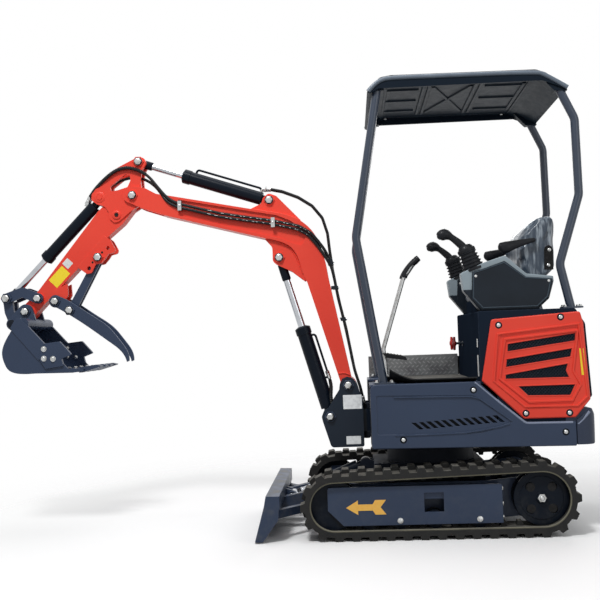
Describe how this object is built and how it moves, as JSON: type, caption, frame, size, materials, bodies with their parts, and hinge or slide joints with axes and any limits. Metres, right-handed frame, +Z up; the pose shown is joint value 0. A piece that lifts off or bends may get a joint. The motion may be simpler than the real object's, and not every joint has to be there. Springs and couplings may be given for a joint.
{
  "type": "mini excavator",
  "caption": "Compact tracked digger with an open canopy, swing boom, bucket with a manual thumb and a front blade; the arm, blade and house move on real joints.",
  "frame": {"origin": "on the ground under the slew axis", "axes": "+X forward to the blade and the bucket, +Y to the left side, +Z up"},
  "size_m": [3.0569, 0.93, 2.276],
  "materials": {
    "slate_paint": "satin",
    "red_paint": "gloss",
    "black_paint": "satin",
    "chrome_rod": "polished",
    "bare_steel": "zinc",
    "cast_iron": "painted",
    "alloy": "cast",
    "track_rubber": "dusty",
    "mat_rubber": "ribbed",
    "hose_rubber": "satin",
    "black_plastic": "moulded",
    "grey_plastic": "moulded",
    "grip_plastic": "gloss",
    "seat_vinyl": "glossy film"
  },
  "bodies": {
    "undercarriage": {"track_left": "track_rubber", "track_right": "track_rubber", "track_frames": "slate_paint", "rollers": "black_paint", "idlers": "black_paint", "sprockets": "black_paint", "travel_motors": "black_paint", "car_body": "slate_paint", "slew_ring": "bare_steel"},
    "blade": {"blade": "slate_paint"},
    "blade_cylinder_barrel": {"blade_cylinder_barrel": "black_paint"},
    "blade_cylinder_rod": {"blade_cylinder_rod": "chrome_rod"},
    "house": {"house_deck": "slate_paint", "floor": "slate_paint", "floor_mat": "mat_rubber", "kick_plate": "alloy", "side_panels": "slate_paint", "engine_covers": "red_paint", "engine_housing": "black_plastic", "engine_block": "alloy", "counterweight": "cast_iron", "canopy_front_posts": "slate_paint", "canopy_rear_posts": "slate_paint", "canopy_roof": "black_plastic", "seat_base": "black_plastic", "seat_cushion": "seat_vinyl", "seat_back": "seat_vinyl", "armrests": "grip_plastic", "consoles": "grey_plastic", "console_panels": "black_plastic", "joysticks": "grip_plastic", "travel_levers": "bare_steel"},
    "swing_post": {"swing_post": "slate_paint"},
    "boom": {"boom": "red_paint", "boom_hoses": "hose_rubber"},
    "boom_cylinder_barrel": {"boom_cylinder_barrel": "black_paint"},
    "boom_cylinder_rod": {"boom_cylinder_rod": "chrome_rod"},
    "stick_cylinder_barrel": {"stick_cylinder_barrel": "black_paint"},
    "stick_cylinder_rod": {"stick_cylinder_rod": "chrome_rod"},
    "stick": {"stick": "red_paint", "thumb": "slate_paint", "thumb_link": "slate_paint"},
    "bucket_cylinder_barrel": {"bucket_cylinder_barrel": "black_paint"},
    "bucket_cylinder_rod": {"bucket_cylinder_rod": "chrome_rod"},
    "rocker_links": {"rocker_links": "slate_paint"},
    "push_link": {"push_link": "slate_paint"},
    "bucket": {"bucket": "slate_paint"}
  },
  "joints": [
    {"name": "slew", "type": "hinge", "parent": "undercarriage", "child": "house", "pos_m": [0, 0, 0.418], "axis": [0, 0, 1], "continuous": true},
    {"name": "boom_swing", "type": "hinge", "parent": "house", "child": "swing_post", "pos_m": [0.33, 0, 0.54], "axis": [0, 0, 1], "range_deg": [-55, 55]},
    {"name": "boom_lift", "type": "hinge", "parent": "swing_post", "child": "boom", "pos_m": [0.42, 0, 0.729], "axis": [0, -1, 0], "range_deg": [-78, 14]},
    {"name": "stick_swing", "type": "hinge", "parent": "boom", "child": "stick", "pos_m": [1.549, 0, 1.789], "axis": [0, 1, 0], "range_deg": [-50, 52]},
    {"name": "bucket_curl", "type": "hinge", "parent": "stick", "child": "bucket", "pos_m": [2.147, 0, 1.18], "axis": [0, 1, 0], "range_deg": [-110, 3]},
    {"name": "blade_lift", "type": "hinge", "parent": "undercarriage", "child": "blade", "pos_m": [0.372, 0, 0.215], "axis": [0, -1, 0], "range_deg": [-25, 22]},
    {"name": "boom_cylinder_tilt", "type": "hinge", "parent": "swing_post", "child": "boom_cylinder_barrel", "pos_m": [0.52, 0, 0.567], "axis": [0, -1, 0], "range_deg": [-75.09, 13.89]},
    {"name": "boom_cylinder_slide", "type": "slide", "parent": "boom_cylinder_barrel", "child": "boom_cylinder_rod", "axis": [0.2755, 0, 0.9613], "range_m": [-0.23, 0.0429]},
    {"name": "stick_cylinder_tilt", "type": "hinge", "parent": "boom", "child": "stick_cylinder_barrel", "pos_m": [0.809, 0, 1.734], "axis": [0, 1, 0], "range_deg": [-2.38, 2.45]},
    {"name": "stick_cylinder_slide", "type": "slide", "parent": "stick_cylinder_barrel", "child": "stick_cylinder_rod", "axis": [0.9468, 0, 0.3219], "range_m": [-0.1511, 0.1571]},
    {"name": "bucket_cylinder_tilt", "type": "hinge", "parent": "stick", "child": "bucket_cylinder_barrel", "pos_m": [1.734, 0, 1.789], "axis": [0, 1, 0], "range_deg": [-5.14, 0.63]},
    {"name": "bucket_cylinder_slide", "type": "slide", "parent": "bucket_cylinder_barrel", "child": "bucket_cylinder_rod", "axis": [0.7004, 0, -0.7138], "range_m": [-0.1784, 0.0068]},
    {"name": "rocker_turn", "type": "hinge", "parent": "stick", "child": "rocker_links", "pos_m": [2.083, 0, 1.25], "axis": [0, 1, 0], "range_deg": [-66.41, 2.3]},
    {"name": "push_link_turn", "type": "hinge", "parent": "rocker_links", "child": "push_link", "pos_m": [2.257, 0, 1.256], "axis": [0, 1, 0], "range_deg": [-1.42, 34.15]},
    {"name": "blade_cylinder_tilt", "type": "hinge", "parent": "undercarriage", "child": "blade_cylinder_barrel", "pos_m": [0.342, 0, 0.312], "axis": [0, -1, 0], "range_deg": [-21.65, 19.11]},
    {"name": "blade_cylinder_slide", "type": "slide", "parent": "blade_cylinder_barrel", "child": "blade_cylinder_rod", "axis": [0.9245, 0, -0.3811], "range_m": [-0.0311, 0.0351]}
  ],
  "couplings": [
    {"joint": "boom_cylinder_tilt", "follows": "boom_lift", "ratio": 0.95625},
    {"joint": "boom_cylinder_slide", "follows": "boom_lift", "m_per_rad": 0.1675},
    {"joint": "stick_cylinder_tilt", "follows": "stick_swing", "ratio": 0.0375},
    {"joint": "stick_cylinder_slide", "follows": "stick_swing", "m_per_rad": 0.1709},
    {"joint": "bucket_cylinder_tilt", "follows": "bucket_curl", "ratio": 0.0422},
    {"joint": "bucket_cylinder_slide", "follows": "bucket_curl", "m_per_rad": 0.0919},
    {"joint": "rocker_turn", "follows": "bucket_curl", "ratio": 0.5992},
    {"joint": "push_link_turn", "follows": "bucket_curl", "ratio": -0.3059},
    {"joint": "blade_cylinder_tilt", "follows": "blade_lift", "ratio": 0.8461},
    {"joint": "blade_cylinder_slide", "follows": "blade_lift", "m_per_rad": -0.0759}
  ]
}
